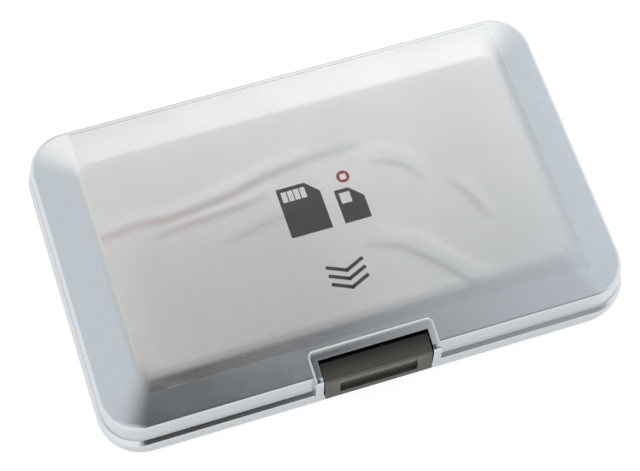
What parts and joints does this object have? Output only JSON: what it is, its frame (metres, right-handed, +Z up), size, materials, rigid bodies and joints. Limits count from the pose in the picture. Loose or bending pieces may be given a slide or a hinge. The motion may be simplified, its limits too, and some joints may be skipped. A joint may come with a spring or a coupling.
{
  "type": "memory card case",
  "caption": "Silver clamshell case for memory cards: embossed skins on moulded frames, soft trays with card pockets, a pinned hinge at the back and a sprung pull lever at the front.",
  "frame": {"origin": "middle of the closed case, on the surface it lies on", "axes": "+X along the width, to the right for someone facing the lever; +Y from the lever at the front to the hinges at the back; +Z up, from the base to the lid"},
  "size_m": [0.11, 0.0712, 0.0171],
  "materials": {
    "base_metal": "fine satin",
    "lid_metal": "fine satin",
    "rim_metal": "satin",
    "surround_silver": "satin",
    "frame_plastic": "matte black",
    "tray_rubber": "soft matte charcoal",
    "seal_rubber": "matte",
    "pin_steel": "drawn",
    "spring_steel": "drawn",
    "lever_plastic": "satin taupe",
    "clear_film": "clear gloss, slightly wrinkled"
  },
  "bodies": {
    "base": {"base_skin": "base_metal", "base_rim": "rim_metal", "base_frame": "frame_plastic", "seam_seal": "seal_rubber", "base_tray": "tray_rubber", "hinge_pin_left": "pin_steel", "hinge_pin_right": "pin_steel"},
    "lid": {"lid_skin": "lid_metal", "lid_frame": "frame_plastic", "lid_tray": "tray_rubber", "protective_film": "clear_film", "latch_surround": "surround_silver", "latch_pin": "pin_steel", "latch_spring": "spring_steel"},
    "latch": {"latch_lever": "lever_plastic"}
  },
  "joints": [
    {"name": "lid_hinge", "type": "hinge", "parent": "base", "child": "lid", "pos_m": [0, 0.03425, 0.0087], "axis": [-1, 0, 0], "range_deg": [0, 180]},
    {"name": "latch_pivot", "type": "hinge", "parent": "lid", "child": "latch", "pos_m": [0, -0.0315, 0.0134], "axis": [-1, 0, 0], "range_deg": [0, 30], "stiffness_Nm_per_rad": 0.03, "springref_deg": -5.73}
  ]
}
